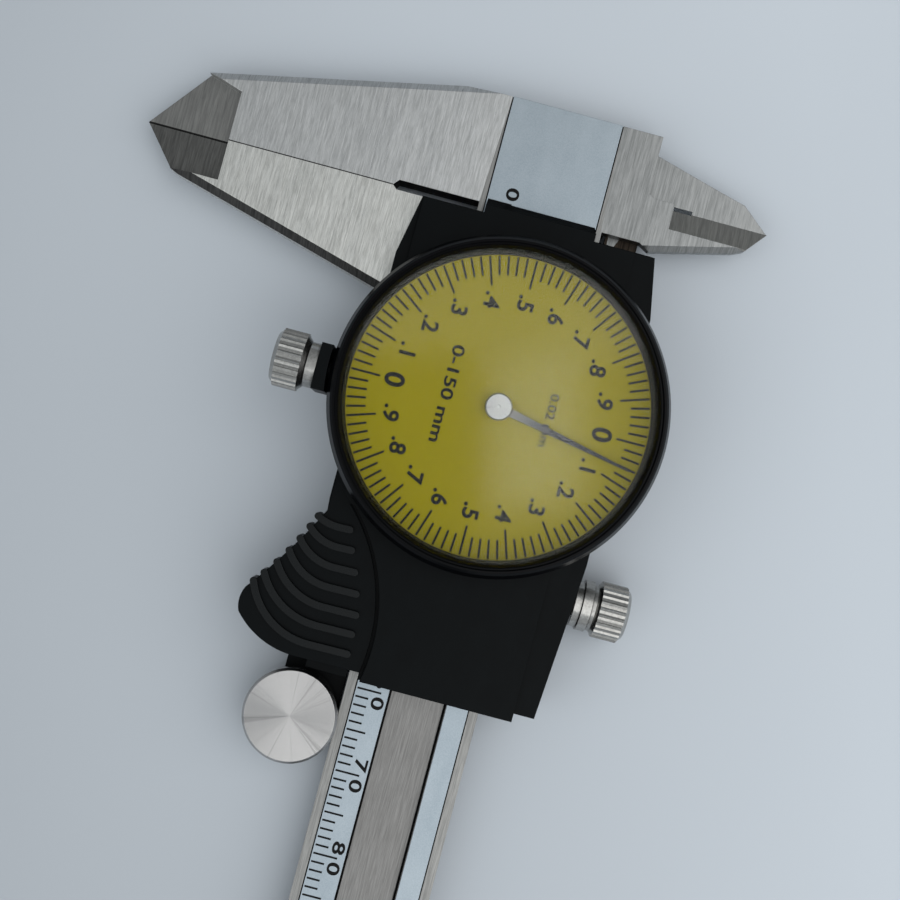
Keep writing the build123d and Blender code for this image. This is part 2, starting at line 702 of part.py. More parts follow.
def roller_bracket():
    """Black bracket: a block on the slider's corner and a plate under the roller."""
    block = slab(bracket_start, slider_end, -rail_half, -bracket_side, back_plate, rail_top_z - seat_gap)
    plate_top = bracket_low_z + bracket_thick
    outline = [(slider_end + seat_gap, -bracket_side), (roller_x + bracket_corner, -bracket_side)]
    outline += [polar(bracket_r, 25, roller_x, roller_y), (roller_x, roller_y - bracket_r)]
    outline += [(slider_end + 2.0, roller_y - 2.3), (slider_end + seat_gap, roller_y - 2.3)]
    plate = prism(outline, bracket_low_z, plate_top)
    plate += post(roller_x, roller_y, bracket_r, bracket_low_z, plate_top)
    web_end = slider_end + 1.0
    web = slab(slider_end - 0.5, web_end, -rail_half, -bracket_side, back_plate, rail_top_z - seat_gap)
    foot = slab(slider_end + seat_gap, web_end, -rail_half, -bracket_side, bracket_low_z, back_plate + 0.5)
    body = block + plate + web + foot
    body -= post(roller_x, roller_y, stub_r + slide_fit, bracket_low_z - 1, plate_top + 1)
    for x, y in bracket_screw_at:
        body -= post(x, y, plate_screw[1] + slide_fit, back_plate - 1, 4.1)
    return body


def bracket_screws():
    """Two screws through the slider's back into the bracket."""
    return group(screw_up(x, y, plate_screw, 0, 4.0) for x, y in bracket_screw_at)


def thumb_roller():
    """Turned roller: a rim that runs on the beam's edge, a wider face and a stub shaft."""
    profile = [(0, 0.2), (stub_r, 0.2), (stub_r, 0.45), (stub_r - 0.35, 0.45), (stub_r - 0.35, 0.85)]
    profile += [(stub_r, 0.85), (stub_r, roller_low_z), (roller_r - 0.25, roller_low_z)]
    profile += [(roller_r, roller_low_z + 0.25), (roller_r, flange_z), (flange_r, flange_z)]
    profile += [(flange_r, roller_top_z - 0.3), (flange_r - 0.3, roller_top_z), (0, roller_top_z)]
    return turned(profile, roller_x, roller_y)


def roller_clip():
    """Split clip in the groove of the stub shaft."""
    body = post(roller_x, roller_y, 2.6, 0.47, 0.83)
    body -= post(roller_x, roller_y, stub_r - 0.35 + seat_gap, 0, 1)
    return body - slab(roller_x - 0.7, roller_x + 0.7, roller_y, roller_y + 4, 0, 1)


# Movement

pillar_gap = 0.45
pillar_spread = wheel_pitch_r + tooth_addendum + pillar_gap + pillar_r
bridge_margin = 1.9
bridge_front = 8.2


def pillar_places():
    """Two pillars beyond the wheels and two in front of the dial's centre, in order round the bridge."""
    front = [polar(bridge_front, angle, dial_x, dial_y) for angle in (-133, 133)]
    rear = [polar(pillar_spread, angle, pinion_x, pinion_y) for angle in (66, -58)]
    return front + rear


def bridge_face(gap):
    """Outline of the bridge round its pillars, grown by a gap."""
    face = make_face(Polyline(*pillar_places(), close=True))
    return offset(face, bridge_margin + gap, kind=Kind.ARC)


def tooth_ring(teeth, pitch_r, phase):
    """Outline of a small gear with a tooth centred on the phase angle in degrees."""
    root_r = pitch_r - tooth_dedendum
    tip_r = pitch_r + tooth_addendum
    root_turn = math.degrees((tooth_half + tooth_dedendum * flank_slope) / pitch_r)
    tip_turn = math.degrees((tooth_half - tooth_addendum * flank_slope) / tip_r)
    outline = []
    for count in range(teeth):
        middle = phase + count * 360 / teeth
        outline.append(polar(root_r, middle - root_turn))
        outline.append(polar(tip_r, middle - tip_turn))
        outline.append(polar(tip_r, middle + tip_turn))
        outline.append(polar(root_r, middle + root_turn))
    return outline


def gear(teeth, pitch_r, phase, x, y, low, thick):
    """Toothed disc at a place."""
    face = make_face(Polyline(*tooth_ring(teeth, pitch_r, phase), close=True))
    return Pos(x, y, low) * extrude(face, thick)


wheel_phase = math.degrees(math.atan2(dial_y - pinion_y, dial_x - pinion_x))
centre_phase = wheel_phase + 180 + 180 / centre_pinion_teeth


def movement_plate():
    """Base plate across the beam, on the slider's two rails."""
    body = slab(plate_start, plate_end, -plate_half, plate_half, rail_top_z, plate_z)
    body = fillet(body.edges().filter_by(Axis.Z), 2.0)
    for x, y in plate_screw_at:
        body -= post(x, y, plate_screw[1] + slide_fit, rail_top_z - 1, plate_z + 1)
    for x, y in ((pinion_x, pinion_y), (dial_x, dial_y)):
        body -= post(x, y, bush_r, rail_top_z - 1, plate_z + 1)
    return body


def movement_pillars():
    """Turned pillars on the base plate, tapped for the bridge screws."""
    pillars = []
    for x, y in pillar_places():
        tapped = post(x, y, tiny_screw[1] + seat_gap, bridge_z - 1.0, bridge_z + 1.0)
        pillars.append(post(x, y, pillar_r, plate_z, bridge_z) - tapped)
    return group(pillars)


def movement_bridge():
    """Upper plate on the pillars."""
    body = Pos(0, 0, bridge_z) * extrude(bridge_face(0), bridge_thick)
    for x, y in pillar_places():
        body -= post(x, y, tiny_screw[1] + slide_fit, bridge_z - 1, bridge_z + 2)
    for x, y in ((pinion_x, pinion_y), (dial_x, dial_y)):
        body -= post(x, y, bush_r, bridge_z - 1, bridge_z + 2)
    return body


def bridge_screws():
    """Four screws of the bridge."""
    seat = bridge_z + bridge_thick
    return group(screw_down(x, y, tiny_screw, seat, bridge_thick + 0.8) for x, y in pillar_places())


def plate_screws():
    """Four screws of the base plate, in the slider's rails."""
    return group(screw_down(x, y, plate_screw, plate_z, plate_thick + 2.4) for x, y in plate_screw_at)


def bush(x, y, low, high, bore):
    """One plain bearing bush, standing a little proud of its plate."""
    return post(x, y, bush_r - seat_gap, low, high + bush_stand) - post(x, y, bore, low - 1, high + 1)


def arbor_bushes():
    """Bearing bushes of both arbors, in the base plate and in the bridge."""
    places = ((pinion_x, pinion_y), (dial_x, dial_y))
    lower_bores = (arbor_r + shaft_fit, pivot_r + shaft_fit)
    upper_bores = (pivot_r + shaft_fit, arbor_r + shaft_fit)
    bushes = []
    for (x, y), lower, upper in zip(places, lower_bores, upper_bores):
        bushes.append(bush(x, y, rail_top_z, plate_z, lower))
        bushes.append(bush(x, y, bridge_z, bridge_z + bridge_thick, upper))
    return group(bushes)


def pinion_arbor():
    """Arbor of the rack pinion, with the pinion cut on its lower end."""
    gear_low = groove_floor_z + 0.12
    gear_high = rack_pocket_z - body_gap
    top = bridge_z + bridge_thick
    profile = [(0, gear_high - 0.1), (arbor_r, gear_high - 0.1), (arbor_r, backlash_z + backlash_thick)]
    profile += [(arbor_r, bridge_z - 0.1), (pivot_r, bridge_z - 0.1), (pivot_r, top), (0, top)]
    pinion = gear(rack_pinion_teeth, pinion_pitch_r, 90, pinion_x, pinion_y, gear_low, gear_high - gear_low)
    return pinion + turned(profile, pinion_x, pinion_y)


def drive_gear():
    """Brass wheel on the pinion arbor that drives the centre pinion."""
    body = gear(wheel_teeth, wheel_pitch_r, wheel_phase, pinion_x, pinion_y, wheel_z, wheel_thick)
    return body - post(pinion_x, pinion_y, arbor_r + seat_gap, wheel_z - 1, wheel_z + 2)


def backlash_gear():
    """Thin second wheel above the first, pressed against the play by a spring."""
    body = gear(wheel_teeth, wheel_pitch_r, wheel_phase, pinion_x, pinion_y, backlash_z, backlash_thick)
    return body - post(pinion_x, pinion_y, arbor_r + seat_gap, backlash_z - 1, backlash_z + 2)


def backlash_spring():
    """Open ring spring lying on the second wheel."""
    outer = 2.3
    body = post(pinion_x, pinion_y, outer, spring_z - 0.05, spring_z + spring_wire - 0.05)
    body -= post(pinion_x, pinion_y, outer - spring_wire, spring_z - 1, spring_z + 2)
    return body - slab(pinion_x, pinion_x + 3, pinion_y - 0.6, pinion_y + 0.6, spring_z - 1, spring_z + 2)


def centre_arbor():
    """Centre arbor with its pinion, up through the dial to the needle."""
    gear_low = wheel_z - 0.1
    gear_high = backlash_z + backlash_thick + 0.1
    top = hub_top_z - 0.35
    profile = [(0, rail_top_z + 0.15), (pivot_r, rail_top_z + 0.15), (pivot_r, gear_low - 0.15)]
    profile += [(arbor_r, gear_low - 0.15), (arbor_r, top - 1.2), (0.5, top - 0.6), (0.5, top), (0, top)]
    pinion = gear(centre_pinion_teeth, centre_pitch_r, centre_phase, dial_x, dial_y,
                  gear_low, gear_high - gear_low)
    return pinion + turned(profile, dial_x, dial_y)


def needle():
    """Tapered pointer blade, pressed on the hub."""
    outline = [(-needle_root / 2, 0), (-needle_tip / 2, needle_length)]
    outline += [(needle_tip / 2, needle_length), (needle_root / 2, 0)]
    body = prism(outline, needle_z, needle_z + needle_thick)
    body += post(0, 0, hub_r - 0.25, needle_z, needle_z + needle_thick)
    body -= post(0, 0, 0.75, needle_z - 1, needle_z + 1)
    return Pos(dial_x, dial_y, 0) * Rot(0, 0, -needle_angle) * body


def needle_hub():
    """Turned cap: a sleeve through the pointer and a flat round head with a small hole."""
    bore = 0.5 + seat_gap
    sleeve = 0.75 - seat_gap
    profile = [(bore, needle_z - 0.35), (sleeve, needle_z - 0.35), (sleeve, needle_z + needle_thick)]
    profile += [(hub_r, needle_z + needle_thick), (hub_r, hub_top_z - 0.12), (hub_r - 0.12, hub_top_z)]
    profile += [(0.22, hub_top_z), (0.22, hub_top_z - 0.3), (bore, hub_top_z - 0.3)]
    return turned(profile, dial_x, dial_y)


# Bezel group

def bezel():
    """Bezel ring: skirt round the cover's neck, dial seat, crystal seat and sloped lip."""
    bore = neck_r + bezel_fit
    notch = neck_r + ring_bite + 0.1
    half = ring_wire / 2 + 0.1
    profile = [(bore, bezel_low_z), (bezel_r - 0.3, bezel_low_z), (bezel_r, bezel_low_z + 0.4)]
    profile += [(bezel_r, bezel_top_z - 1.6), (bezel_r - 0.45, bezel_top_z - 0.35)]
    profile += [(bezel_r - 0.75, bezel_top_z), (bezel_r - 1.0, bezel_top_z)]
    profile += [(bezel_r - 1.1, bezel_top_z - 0.25), (bezel_r - 1.3, bezel_top_z - 0.25)]
    profile += [(bezel_r - 1.4, bezel_top_z), (crystal_r - 0.15, crystal_z + crystal_thick)]
    profile += [(crystal_r + seat_gap, crystal_z + crystal_thick), (crystal_r + seat_gap, crystal_z)]
    profile += [(crystal_r - 0.25, crystal_z), (dial_show_r, dial_top_z), (bore, dial_top_z)]
    profile += [(bore, ring_z + half), (notch, ring_z + half), (notch, ring_z - half), (bore, ring_z - half)]
    return turned(profile, dial_x, dial_y)


def dial_plate():
    """Thin dial with a clearance hole for the centre arbor."""
    body = post(dial_x, dial_y, dial_r, dial_top_z - dial_thick, dial_top_z)
    return body - post(dial_x, dial_y, arbor_r + body_gap, dial_top_z - 1, dial_top_z + 1)


def crystal():
    """Clear flat cover of the dial."""
    return post(dial_x, dial_y, crystal_r, crystal_z, crystal_z + crystal_thick)


def bezel_spring():
    """Split spring ring between the neck's groove and the bezel's groove."""
    inner = neck_r - ring_bite
    outer = neck_r + ring_bite
    body = post(dial_x, dial_y, outer, ring_z - ring_wire / 2, ring_z + ring_wire / 2)
    body -= post(dial_x, dial_y, inner, ring_z - 1, ring_z + 1)
    return body - slab(dial_x, dial_x + 25, dial_y - 1.5, dial_y + 1.5, ring_z - 1, ring_z + 1)


# Knurled screws

def knurled_head(radius, start, end):
    """Turned head with bevelled ends and a band of straight ridges, along Z."""
    ridges = []
    for count in range(knurls):
        ridges.append(polar(radius - knurl_depth, (count - 0.5) * 360 / knurls))
        ridges.append(polar(radius, count * 360 / knurls))
    low, high = start + knurl_land, end - knurl_land
    edge = radius - knurl_depth * 0.6
    profile = [(0, start), (edge - knurl_land, start), (edge, low), (edge, high)]
    profile += [(edge - knurl_land, end), (0, end)]
    return turned(profile) + prism(ridges, low, high)


def lock_screw():
    """Knurled screw that presses the gib strip on the beam."""
    start = gib_wall + slide_fit
    flange = lock_flange_start
    neck = lock_collar_r - 0.25
    profile = [(0, start), (lock_shank_r - 0.3, start), (lock_shank_r, start + 0.3), (lock_shank_r, flange)]
    profile += [(lock_flange_r, flange), (lock_flange_r, flange + 0.8), (lock_collar_r, flange + 0.9)]
    profile += [(lock_collar_r, flange + 2.0), (neck, flange + 2.1), (neck, lock_head_start + 0.2)]
    profile += [(0, lock_head_start + 0.2)]
    body = turned(profile) + knurled_head(lock_head_r, lock_head_start, lock_head_end)
    return Pos(lock_x, 0, lock_z) * Rot(-90, 0, 0) * body


def clamp_screw():
    """Knurled screw that holds the bezel at its setting."""
    start = bezel_r - dial_y + slide_fit + 0.55
    profile = [(0, start), (clamp_shank_r, start), (clamp_shank_r, boss_reach + slide_fit)]
    profile += [(clamp_collar_r, boss_reach + slide_fit), (clamp_collar_r, clamp_head_start - 0.15)]
    neck = clamp_collar_r - 0.2
    profile += [(neck, clamp_head_start - 0.1), (neck, clamp_head_start + 0.2), (0, clamp_head_start + 0.2)]
    body = turned(profile) + knurled_head(clamp_head_r, clamp_head_start, clamp_head_end)
    return Pos(clamp_x, 0, clamp_z) * Rot(90, 0, 0) * body


def clamp_shoe():
    """Nylon pad between the clamp screw and the bezel."""
    start = bezel_r - dial_y + slide_fit
    return bar_along_y(clamp_x, clamp_z, shoe_r, -start - 0.5, -start)


def main():
    os.makedirs("parts", exist_ok=True)
    nodes = [beam, end_stop, end_stop_screws, rack, rack_screws, slider, gib_strip, gib_screws,
             depth_rod, depth_rod_screws, cover, cover_screws, roller_bracket, bracket_screws,
             thumb_roller, roller_clip, movement_plate, movement_pillars, movement_bridge,
             bridge_screws, plate_screws, arbor_bushes, pinion_arbor, drive_gear, backlash_gear,
             backlash_spring, centre_arbor, needle, needle_hub, bezel, dial_plate, crystal,
             bezel_spring, lock_screw, clamp_screw, clamp_shoe]
    for node in nodes:
        save(node(), node.__name__)


main()
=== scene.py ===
import math

import bmesh
import bpy
from mathutils import Matrix, Vector


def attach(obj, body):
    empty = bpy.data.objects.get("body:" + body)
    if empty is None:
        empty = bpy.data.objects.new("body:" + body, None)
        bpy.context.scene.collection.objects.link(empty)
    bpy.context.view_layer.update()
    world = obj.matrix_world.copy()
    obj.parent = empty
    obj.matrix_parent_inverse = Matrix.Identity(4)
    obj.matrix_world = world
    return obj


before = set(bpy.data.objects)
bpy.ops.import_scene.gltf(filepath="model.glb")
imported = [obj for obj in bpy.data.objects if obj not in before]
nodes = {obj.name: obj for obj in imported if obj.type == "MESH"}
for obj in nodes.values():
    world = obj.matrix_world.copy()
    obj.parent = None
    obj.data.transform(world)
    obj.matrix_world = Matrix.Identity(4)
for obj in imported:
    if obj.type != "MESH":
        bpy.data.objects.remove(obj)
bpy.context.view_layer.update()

# Lengths below are in millimetres and turned into metres where a mesh or lamp is placed.
MM = 0.001

# Heights above the table
panel_top = 5.15
groove_floor = 3.65
jaw_top = 4.95
rib_top = 9.65
dial_top = 12.95
needle_height = 13.4

# Half widths of the beam, of its raised panels and of the slots beside the groove's floor
beam_half = 8.0
panel_half = 6.75
slot_half = 4.2

# Places along the jaws
ledge_start = 2.0
contact_top = 18.0
relief_end = -19.0
tip_start = -38.0
block_low = 7.0
arm_end = 13.0
knife_start = 15.0
blade_side = -3.0

# Centres of the dial and of the thumb roller
dial_x = 23.1
dial_y = 0.67
roller_x = 63.85
roller_y = -13.4

# How far a face may stand from the height that it is told by, and how level its normal is
near_height = 0.05
level = 0.9

# The picture's turn about the upright axis, in radians
view_turn = 1.83144


# Camera

def make_camera():
    """The photograph's viewpoint, straight above the slider, the beam running down the picture."""
    data = bpy.data.cameras.new("camera")
    data.sensor_width = 36.0
    data.sensor_fit = "HORIZONTAL"
    data.lens = 52.27
    data.clip_start = 0.005
    data.clip_end = 20.0
    camera = bpy.data.objects.new("camera", data)
    camera.location = Vector((33.442, -5.009, 160.2)) * MM
    camera.rotation_euler = (0.02516, -0.01832, view_turn)
    bpy.context.scene.collection.objects.link(camera)
    bpy.context.scene.camera = camera


# Materials

class Paint:
    """A node material around one Principled shader, with short calls for its textures."""

    def __init__(self, name, edge=0.07):
        self.material = bpy.data.materials.new(name)
        self.material.use_nodes = True
        self.tree = self.material.node_tree
        self.tree.nodes.clear()
        self.out = self.tree.nodes.new("ShaderNodeOutputMaterial")
        self.shader = self.tree.nodes.new("ShaderNodeBsdfPrincipled")
        self.link(self.shader.outputs[0], self.out.inputs[0])
        self.height = None
        if edge:
            rounded = self.node("ShaderNodeBevel")
            rounded.samples = 4
            rounded.inputs["Radius"].default_value = edge * MM
            self.height = rounded.outputs["Normal"]
            self.link(self.height, self.shader.inputs["Normal"])

    def node(self, kind):
        return self.tree.nodes.new(kind)

    def link(self, source, target):
        self.tree.links.new(source, target)

    def set(self, name, value):
        self.shader.inputs[name].default_value = value

    def place(self, scale):
        """Object coordinates scaled to so many cycles per millimetre along each axis."""
        coords = self.node("ShaderNodeTexCoord")
        mapping = self.node("ShaderNodeMapping")
        mapping.inputs["Scale"].default_value = [value / MM for value in scale]
        self.link(coords.outputs["Object"], mapping.inputs["Vector"])
        return mapping.outputs["Vector"]

    def noise(self, scale, detail=4.0, rough=0.6):
        texture = self.node("ShaderNodeTexNoise")
        texture.inputs["Scale"].default_value = 1.0
        texture.inputs["Detail"].default_value = detail
        texture.inputs["Roughness"].default_value = rough
        self.link(self.place(scale), texture.inputs["Vector"])
        return texture.outputs["Fac"]

    def ramp(self, source, stops):
        """Colours or greys between stops of (place, value)."""
        ramp = self.node("ShaderNodeValToRGB")
        for index, (spot, value) in enumerate(stops):
            colour = (*value, 1.0) if isinstance(value, tuple) else (value, value, value, 1.0)
            if index < 2:
                stop = ramp.color_ramp.elements[index]
                stop.position = spot
            else:
                stop = ramp.color_ramp.elements.new(spot)
            stop.color = colour
        self.link(source, ramp.inputs[0])
        return ramp.outputs[0]

    def bump(self, source, strength, depth):
        """Adds one layer of relief, so many millimetres deep."""
        bump = self.node("ShaderNodeBump")
        bump.inputs["Strength"].default_value = strength
        bump.inputs["Distance"].default_value = depth * MM
        self.link(source, bump.inputs["Height"])
        if self.height is not None:
            self.link(self.height, bump.inputs["Normal"])
        self.height = bump.outputs["Normal"]
        self.link(self.height, self.shader.inputs["Normal"])

    def multiply(self, first, second):
        """Product of two colours."""
        mix = self.node("ShaderNodeMix")
        mix.data_type = "RGBA"
        mix.blend_type = "MULTIPLY"
        mix.inputs["Factor"].default_value = 1.0
        self.link(first, mix.inputs[6])
        self.link(second, mix.inputs[7])
        return mix.outputs[2]

    def math(self, operation, first, second):
        """One sum on a socket and a number or a second socket."""
        step = self.node("ShaderNodeMath")
        step.operation = operation
        self.link(first, step.inputs[0])
        if isinstance(second, float):
            step.inputs[1].default_value = second
        else:
            self.link(second, step.inputs[1])
        return step.outputs[0]

    def dark_seam(self, tone, width):
        """Paints shade along the plane where the outside jaws meet: a dark line on their broken
        edges.
        """
        coords = self.node("ShaderNodeTexCoord")
        split = self.node("ShaderNodeSeparateXYZ")
        self.link(coords.outputs["Object"], split.inputs[0])
        near = self.math("LESS_THAN", self.math("ABSOLUTE", split.outputs["X"], 0.0), width * MM)
        reach = self.math("LESS_THAN", split.outputs["Y"], -contact_top * MM)
        both = self.math("MULTIPLY", near, reach)
        return self.multiply(tone, self.ramp(both, [(0.0, 1.0), (1.0, 0.12)]))


def ground_steel(name, low, high, rough, grain, short=1.0, seam=0.0):
    """Ground steel: fine scratches across the beam or jaw, with a few deeper ones.

    grain is scratches per millimetre, short makes them shorter, and seam is the half width in mm
    of the line of painted shade where the outside jaws meet."""
    paint = Paint(name)
    paint.set("Metallic", 1.0)
    fine = paint.noise((0.3 * short, grain, 0.5), 4.0, 0.7)
    tone = paint.ramp(fine, [(0.36, low), (0.64, high)])
    # Painted shade: a dark line where the outside jaws meet.
    if seam:
        tone = paint.dark_seam(tone, seam)
    paint.link(tone, paint.shader.inputs["Base Color"])
    streaks = paint.noise((0.12 * short, grain * 0.4, 0.5), 3.0, 0.6)
    gloss = paint.ramp(streaks, [(0.3, rough * 0.8), (0.7, rough * 1.2)])
    paint.link(gloss, paint.shader.inputs["Roughness"])
    paint.bump(fine, 0.2, 0.003)
    paint.bump(streaks, 0.2, 0.004)
    return paint.material


def satin_chrome(name, low, high, rough):
    """Satin chrome: an even bluish sheen with a very fine speckle."""
    paint = Paint(name)
    paint.set("Metallic", 1.0)
    speckle = paint.noise((9.0, 9.0, 9.0), 3.0, 0.7)
    cloud = paint.noise((0.15, 0.3, 0.3), 2.0, 0.5)
    mix = paint.node("ShaderNodeMix")
    mix.inputs["Factor"].default_value = 0.35
    paint.link(speckle, mix.inputs["A"])
    paint.link(cloud, mix.inputs["B"])
    tone = paint.ramp(mix.outputs["Result"], [(0.35, low), (0.65, high)])
    paint.link(tone, paint.shader.inputs["Base Color"])
    paint.set("Roughness", rough)
    paint.bump(speckle, 0.25, 0.006)
    return paint.material


def plain_metal(name, low, high, rough):
    """Turned or rolled metal with a slight cloud and fine marks."""
    paint = Paint(name)
    paint.set("Metallic", 1.0)
    marks = paint.noise((3.0, 3.0, 3.0), 5.0, 0.6)
    tone = paint.ramp(marks, [(0.3, low), (0.7, high)])
    gloss = paint.ramp(marks, [(0.3, rough * 1.15), (0.7, rough * 0.85)])
    paint.link(tone, paint.shader.inputs["Base Color"])
    paint.link(gloss, paint.shader.inputs["Roughness"])
    paint.bump(marks, 0.2, 0.004)
    return paint.material


def knurled_steel():
    """Bright turned steel whose grooves between the ridges are darkened by painted shade from
    ambient occlusion.
    """
    paint = Paint("knurled_steel", 0.04)
    paint.set("Metallic", 1.0)
    hollow = paint.node("ShaderNodeAmbientOcclusion")
    hollow.samples = 8
    hollow.inputs["Distance"].default_value = 0.7 * MM
    marks = paint.noise((3.0, 3.0, 3.0), 5.0, 0.6)
    tone = paint.ramp(marks, [(0.3, (0.34, 0.335, 0.32)), (0.7, (0.47, 0.465, 0.445))])
    # Painted shade: the grooves darken where ambient occlusion finds them.
    shade = paint.ramp(hollow.outputs["AO"], [(0.48, 0.06), (0.88, 1.0)])
    paint.link(paint.multiply(tone, shade), paint.shader.inputs["Base Color"])
    paint.set("Roughness", 0.24)
    return paint.material


# The wave texture's scale on turned faces, for rings about 0.06 mm apart
ring_scale = 5200.0


def turned_face(name, low, high, rough, x, y, spread):
    """Lathe-turned metal: fine rings about an upright axis, and faint spokes of light and shade."""
    paint = Paint(name)
    paint.set("Metallic", 1.0)
    paint.set("Anisotropic", spread)
    tangent = paint.node("ShaderNodeTangent")
    tangent.direction_type = "RADIAL"
    tangent.axis = "Z"
    paint.link(tangent.outputs[0], paint.shader.inputs["Tangent"])
    coords = paint.node("ShaderNodeTexCoord")
    shift = paint.node("ShaderNodeVectorMath")
    shift.operation = "SUBTRACT"
    shift.inputs[1].default_value = (x * MM, y * MM, 0)
    paint.link(coords.outputs["Object"], shift.inputs[0])
    rings = paint.node("ShaderNodeTexWave")
    rings.wave_type = "RINGS"
    rings.rings_direction = "Z"
    rings.inputs["Scale"].default_value = ring_scale
    rings.inputs["Distortion"].default_value = 0.6
    rings.inputs["Detail"].default_value = 3.0
    paint.link(shift.outputs[0], rings.inputs["Vector"])
    flat = paint.node("ShaderNodeVectorMath")
    flat.operation = "MULTIPLY"
    flat.inputs[1].default_value = (1.0, 1.0, 0.0)
    paint.link(shift.outputs[0], flat.inputs[0])
    spoke = paint.node("ShaderNodeVectorMath")
    spoke.operation = "NORMALIZE"
    paint.link(flat.outputs[0], spoke.inputs[0])
    streak = paint.node("ShaderNodeTexNoise")
    streak.inputs["Scale"].default_value = 4.0
    streak.inputs["Detail"].default_value = 8.0
    streak.inputs["Roughness"].default_value = 0.75
    paint.link(spoke.outputs[0], streak.inputs["Vector"])
    tone = paint.ramp(rings.outputs["Fac"], [(0.2, low), (0.8, high)])
    # Painted light and shade: the spokes darken the base colour, beside the sheen that the
    # anisotropy gives.
    shade = paint.ramp(streak.outputs["Fac"], [(0.34, 0.60), (0.47, 1.0)])
    paint.link(paint.multiply(tone, shade), paint.shader.inputs["Base Color"])
    paint.set("Roughness", rough)
    paint.bump(rings.outputs["Fac"], 0.25, 0.004)
    return paint.material


def moulded_black(name, colour, rough, grain, depth, edge, gloss=0.08):
    """Black moulded plastic with a fine spark-eroded grain and faint handling marks."""
    paint = Paint(name, edge)
    fine = paint.noise((grain, grain, grain), 3.0, 0.6)
    wear = paint.noise((0.25, 0.4, 0.4), 5.0, 0.65)
    tone = paint.ramp(wear, [(0.35, colour), (0.75, tuple(part * 1.5 for part in colour))])
    shine = paint.ramp(wear, [(0.3, rough), (0.75, rough * 0.82)])
    paint.link(tone, paint.shader.inputs["Base Color"])
    paint.link(shine, paint.shader.inputs["Roughness"])
    paint.set("Specular IOR Level", gloss)
    paint.bump(fine, 0.35, depth)
    return paint.material


def dial_yellow():
    """Mustard paint with a very slight mottle."""
    paint = Paint("dial_yellow")
    paint.set("Specular IOR Level", 0.04)
    fine = paint.noise((6.0, 6.0, 6.0), 3.0, 0.6)
    paint.link(paint.ramp(fine, [(0.3, (0.206, 0.172, 0.0005)), (0.7, (0.228, 0.191, 0.001))]),
               paint.shader.inputs["Base Color"])
    paint.set("Roughness", 0.55)
    paint.bump(fine, 0.1, 0.004)
    return paint.material


def clear_plastic():
    """Clear crystal. Its shadow rays pass straight through, so that light reaches the dial."""
    paint = Paint("clear_crystal", 0)
    paint.set("Base Color", (0.97, 0.985, 0.975, 1.0))
    paint.set("Transmission Weight", 1.0)
    paint.set("Roughness", 0.09)
    paint.set("IOR", 1.2)
    path = paint.node("ShaderNodeLightPath")
    clear = paint.node("ShaderNodeBsdfTransparent")
    clear.inputs["Color"].default_value = (0.97, 0.985, 0.975, 1.0)
    mix = paint.node("ShaderNodeMixShader")
    paint.link(path.outputs["Is Shadow Ray"], mix.inputs[0])
    paint.link(paint.shader.outputs[0], mix.inputs[1])
    paint.link(clear.outputs[0], mix.inputs[2])
    paint.link(mix.outputs[0], paint.out.inputs[0])
    return paint.material


def ink(name, colour):
    """Filled or printed marks, slightly uneven."""
    paint = Paint(name, 0)
    fine = paint.noise((5.0, 5.0, 5.0), 3.0, 0.6)
    worn = tuple(part * 1.6 + 0.002 for part in colour)
    paint.link(paint.ramp(fine, [(0.3, colour), (0.7, worn)]), paint.shader.inputs["Base Color"])
    paint.set("Roughness", 0.5)
    paint.set("Specular IOR Level", 0.1)
    return paint.material


def needle_dark():
    """Dark satin blade that turns silvery towards the hub."""
    paint = Paint("needle_dark")
    coords = paint.node("ShaderNodeTexCoord")
    shift = paint.node("ShaderNodeVectorMath")
    shift.operation = "DISTANCE"
    shift.inputs[1].default_value = (dial_x * MM, dial_y * MM, needle_height * MM)
    paint.link(coords.outputs["Object"], shift.inputs[0])
    span = paint.node("ShaderNodeMapRange")
    span.inputs["From Min"].default_value = 2.0 * MM
    span.inputs["From Max"].default_value = 8.0 * MM
    paint.link(shift.outputs["Value"], span.inputs["Value"])
    tone = paint.ramp(span.outputs[0], [(0.0, (0.16, 0.155, 0.145)),
                                        (0.45, (0.04, 0.04, 0.04)),
                                        (1.0, (0.012, 0.012, 0.013))])
    paint.link(tone, paint.shader.inputs["Base Color"])
    paint.set("Metallic", 0.5)
    paint.set("Roughness", 0.5)
    paint.bump(paint.noise((8, 8, 8)), 0.1, 0.003)
    return paint.material


# Dressing of the solids

def dress(name, material):
    """Gives a solid its material."""
    item = nodes[name]
    item.data.materials.clear()
    item.data.materials.append(material)


def dress_faces(name, materials, choose):
    """Gives each face of a solid one of several materials, by its centre in mm and its normal."""
    item = nodes[name]
    item.data.materials.clear()
    for material in materials:
        item.data.materials.append(material)
    for face in item.data.polygons:
        face.material_index = choose(face.center / MM, face.normal)


def level_face(centre, normal, height):
    """Whether a face looks up and lies at a height."""
    return normal.z > level and abs(centre.z - height) < near_height


def ground_tip(centre, normal):
    """Whether a face is the lower, ground top of an outside jaw's tip."""
    return centre.y < tip_start and normal.z > level and centre.z < jaw_top - 0.5


